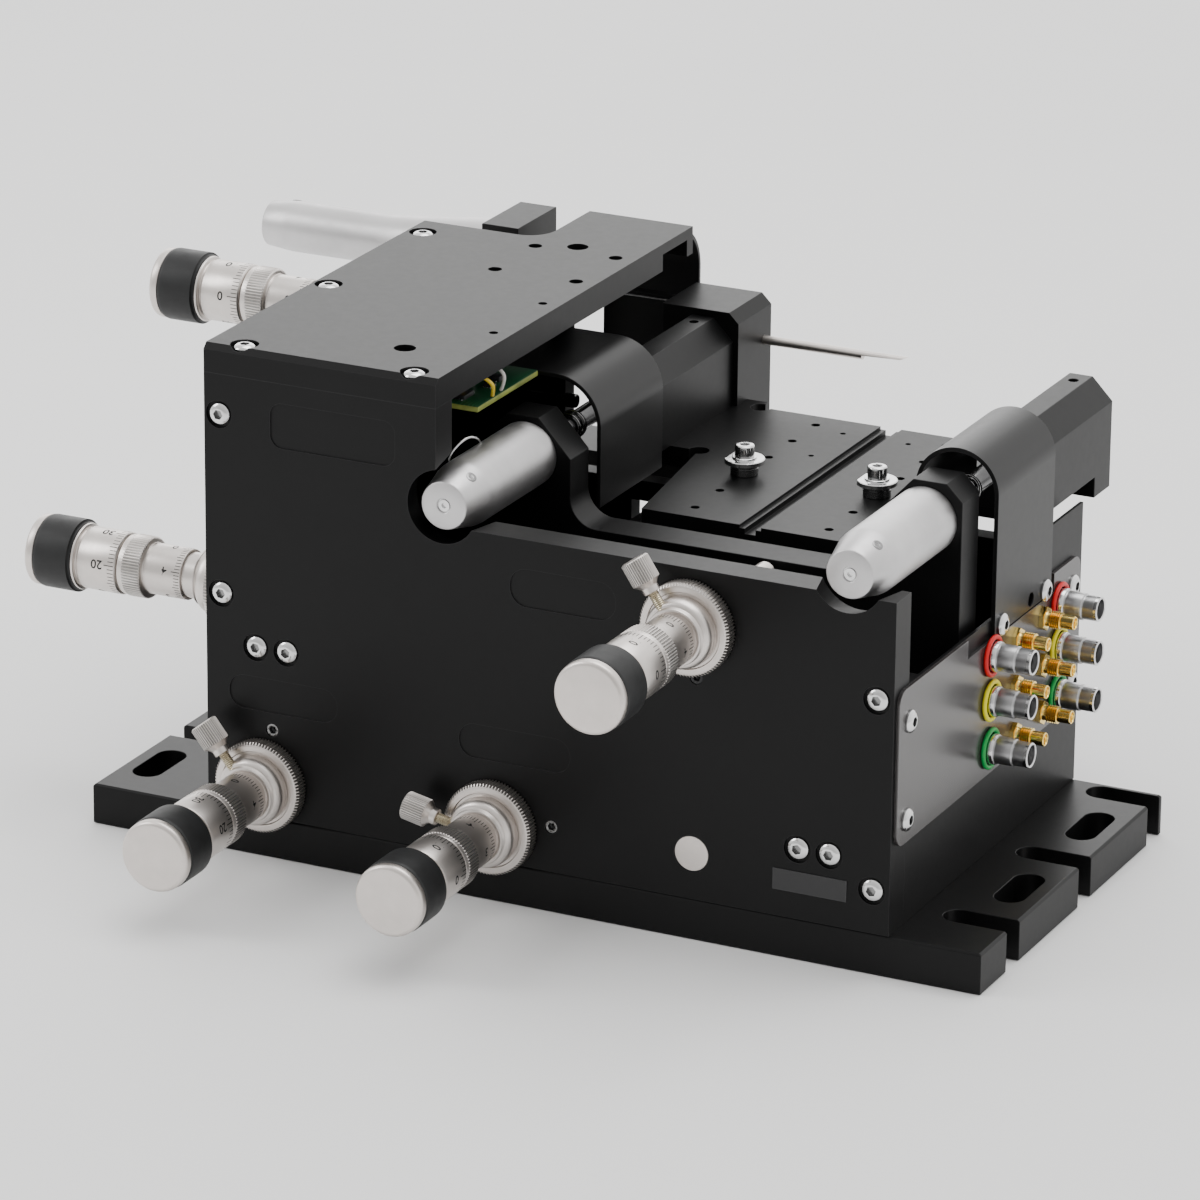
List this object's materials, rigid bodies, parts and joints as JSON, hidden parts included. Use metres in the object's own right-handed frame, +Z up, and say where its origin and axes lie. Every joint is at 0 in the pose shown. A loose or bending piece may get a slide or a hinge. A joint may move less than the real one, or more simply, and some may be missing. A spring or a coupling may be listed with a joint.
{
  "type": "nanopositioning stage",
  "caption": "Multi-axis nanopositioning stage: slotted base, screwed housing, moving platform on nested carriages and shells, differential drives with lock screws.",
  "frame": {"origin": "middle of the base plate's underside", "axes": "+X to the right along the wide front face, +Y away from it along the platform groove, +Z up"},
  "size_m": [0.3025, 0.2517, 0.1446],
  "materials": {
    "black_anodised": "satin",
    "grey_anodised": "satin",
    "carriage": "satin",
    "silver_anodised": "matt",
    "nickel": "satin",
    "steel": "polished",
    "dark_chrome": "gloss",
    "gold": "gloss",
    "grip": "matt",
    "board": "satin",
    "ring_plastic": "satin"
  },
  "bodies": {
    "housing": {"base_plate": "black_anodised", "front_plate": "black_anodised", "left_wall": "black_anodised", "back_wall": "black_anodised", "right_wall": "black_anodised", "top_cover": "black_anodised", "left_guard": "black_anodised", "right_guard": "black_anodised", "rear_guard": "black_anodised", "connector_panel": "grey_anodised", "circuit_board": "board", "signal_sockets": "nickel", "socket_rings": "ring_plastic", "coax_sockets": "gold", "housing_screws": "steel", "front_plugs": "steel", "ring_nuts": "nickel", "drive_collars": "nickel"},
    "longitudinal": {"longitudinal_carriage": "carriage"},
    "lateral": {"lateral_carriage": "carriage"},
    "lift": {"vertical_carriage": "carriage", "cradle_frame": "black_anodised", "rear_bracket": "black_anodised", "pivot_cylinders": "silver_anodised", "link_rods": "dark_chrome", "link_clips": "steel"},
    "yaw": {"yaw_shell": "steel"},
    "pitch": {"pitch_shell": "steel"},
    "roll": {"roll_seat": "steel", "platform": "black_anodised", "left_arm": "black_anodised", "right_arm": "black_anodised", "rear_block": "black_anodised", "rear_link": "dark_chrome", "guide_rod": "steel", "cleats": "steel"},
    "optical_coarse": {"optical_coarse_thimble": "nickel"},
    "optical_fine": {"optical_fine_knob": "nickel", "optical_grip": "grip"},
    "optical_lock": {"optical_lock_screw": "nickel"},
    "lateral_coarse": {"lateral_coarse_thimble": "nickel"},
    "lateral_fine": {"lateral_fine_knob": "nickel", "lateral_grip": "grip"},
    "lateral_lock": {"lateral_lock_screw": "nickel"},
    "vertical_coarse": {"vertical_coarse_thimble": "nickel"},
    "vertical_fine": {"vertical_fine_knob": "nickel", "vertical_grip": "grip"},
    "vertical_lock": {"vertical_lock_screw": "nickel"},
    "yaw_coarse": {"yaw_coarse_thimble": "nickel"},
    "yaw_fine": {"yaw_fine_knob": "nickel", "yaw_grip": "grip"},
    "yaw_lock": {"yaw_lock_screw": "nickel"},
    "pitch_coarse": {"pitch_coarse_thimble": "nickel"},
    "pitch_fine": {"pitch_fine_knob": "nickel", "pitch_grip": "grip"},
    "pitch_lock": {"pitch_lock_screw": "nickel"},
    "roll_coarse": {"roll_coarse_thimble": "nickel"},
    "roll_fine": {"roll_fine_knob": "nickel", "roll_grip": "grip"},
    "roll_lock": {"roll_lock_screw": "nickel"}
  },
  "joints": [
    {"name": "optical_slide", "type": "slide", "parent": "housing", "child": "longitudinal", "axis": [0, 1, 0], "range_m": [-0.002, 0.002]},
    {"name": "lateral_slide", "type": "slide", "parent": "longitudinal", "child": "lateral", "axis": [1, 0, 0], "range_m": [-0.002, 0.002]},
    {"name": "vertical_slide", "type": "slide", "parent": "lateral", "child": "lift", "axis": [0, 0, 1], "range_m": [-0.002, 0.002]},
    {"name": "yaw_turn", "type": "hinge", "parent": "lift", "child": "yaw", "pos_m": [0.034, 0.0515, 0.105], "axis": [0, 0, 1], "range_deg": [-3, 3]},
    {"name": "pitch_turn", "type": "hinge", "parent": "yaw", "child": "pitch", "pos_m": [0.034, 0.0515, 0.105], "axis": [1, 0, 0], "range_deg": [-3, 3]},
    {"name": "roll_turn", "type": "hinge", "parent": "pitch", "child": "roll", "pos_m": [0.034, 0.0515, 0.105], "axis": [0, 1, 0], "range_deg": [-3, 3]},
    {"name": "optical_coarse_turn", "type": "hinge", "parent": "housing", "child": "optical_coarse", "pos_m": [0.0484, -0.064, 0.0885], "axis": [0, -1, 0], "range_deg": [-1440, 1440]},
    {"name": "optical_fine_turn", "type": "hinge", "parent": "optical_coarse", "child": "optical_fine", "pos_m": [0.0484, -0.064, 0.0885], "axis": [0, -1, 0], "range_deg": [-1080, 1080]},
    {"name": "optical_lock_turn", "type": "hinge", "parent": "housing", "child": "optical_lock", "pos_m": [0.0484, -0.0724, 0.0885], "axis": [-0.5592, 0, 0.829], "range_deg": [-90, 90]},
    {"name": "lateral_coarse_turn", "type": "hinge", "parent": "housing", "child": "lateral_coarse", "pos_m": [-0.0965, 0.0345, 0.125], "axis": [-1, 0, 0], "range_deg": [-1440, 1440]},
    {"name": "lateral_fine_turn", "type": "hinge", "parent": "lateral_coarse", "child": "lateral_fine", "pos_m": [-0.0965, 0.0345, 0.125], "axis": [-1, 0, 0], "range_deg": [-1080, 1080]},
    {"name": "lateral_lock_turn", "type": "hinge", "parent": "housing", "child": "lateral_lock", "pos_m": [-0.1094, 0.0345, 0.125], "axis": [0, 0.5, -0.866], "range_deg": [-90, 90]},
    {"name": "vertical_coarse_turn", "type": "hinge", "parent": "housing", "child": "vertical_coarse", "pos_m": [-0.07, 0.064, 0.038], "axis": [0, 1, 0], "range_deg": [-1440, 1440]},
    {"name": "vertical_fine_turn", "type": "hinge", "parent": "vertical_coarse", "child": "vertical_fine", "pos_m": [-0.07, 0.064, 0.038], "axis": [0, 1, 0], "range_deg": [-1080, 1080]},
    {"name": "vertical_lock_turn", "type": "hinge", "parent": "housing", "child": "vertical_lock", "pos_m": [-0.07, 0.0724, 0.038], "axis": [0.5, 0, -0.866], "range_deg": [-90, 90]},
    {"name": "yaw_coarse_turn", "type": "hinge", "parent": "housing", "child": "yaw_coarse", "pos_m": [-0.009, -0.064, 0.022], "axis": [0, -1, 0], "range_deg": [-1440, 1440]},
    {"name": "yaw_fine_turn", "type": "hinge", "parent": "yaw_coarse", "child": "yaw_fine", "pos_m": [-0.009, -0.064, 0.022], "axis": [0, -1, 0], "range_deg": [-1080, 1080]},
    {"name": "yaw_lock_turn", "type": "hinge", "parent": "housing", "child": "yaw_lock", "pos_m": [-0.009, -0.0724, 0.022], "axis": [-0.9781, 0, 0.2079], "range_deg": [-90, 90]},
    {"name": "pitch_coarse_turn", "type": "hinge", "parent": "housing", "child": "pitch_coarse", "pos_m": [-0.079, -0.064, 0.0215], "axis": [0, -1, 0], "range_deg": [-1440, 1440]},
    {"name": "pitch_fine_turn", "type": "hinge", "parent": "pitch_coarse", "child": "pitch_fine", "pos_m": [-0.079, -0.064, 0.0215], "axis": [0, -1, 0], "range_deg": [-1080, 1080]},
    {"name": "pitch_lock_turn", "type": "hinge", "parent": "housing", "child": "pitch_lock", "pos_m": [-0.079, -0.0724, 0.0215], "axis": [-0.6293, 0, 0.7771], "range_deg": [-90, 90]},
    {"name": "roll_coarse_turn", "type": "hinge", "parent": "housing", "child": "roll_coarse", "pos_m": [-0.0965, -0.037, 0.067], "axis": [-1, 0, 0], "range_deg": [-1440, 1440]},
    {"name": "roll_fine_turn", "type": "hinge", "parent": "roll_coarse", "child": "roll_fine", "pos_m": [-0.0965, -0.037, 0.067], "axis": [-1, 0, 0], "range_deg": [-1080, 1080]},
    {"name": "roll_lock_turn", "type": "hinge", "parent": "housing", "child": "roll_lock", "pos_m": [-0.1094, -0.037, 0.067], "axis": [0, 0.866, 0.5], "range_deg": [-90, 90]}
  ],
  "couplings": [
    {"joint": "optical_coarse_turn", "follows": "optical_slide", "rad_per_m": 12560},
    {"joint": "lateral_coarse_turn", "follows": "lateral_slide", "rad_per_m": 12560},
    {"joint": "vertical_coarse_turn", "follows": "vertical_slide", "rad_per_m": 12560},
    {"joint": "yaw_turn", "follows": "yaw_coarse_turn", "ratio": 0.002082},
    {"joint": "pitch_turn", "follows": "pitch_coarse_turn", "ratio": 0.002082},
    {"joint": "roll_turn", "follows": "roll_coarse_turn", "ratio": 0.002082}
  ]
}
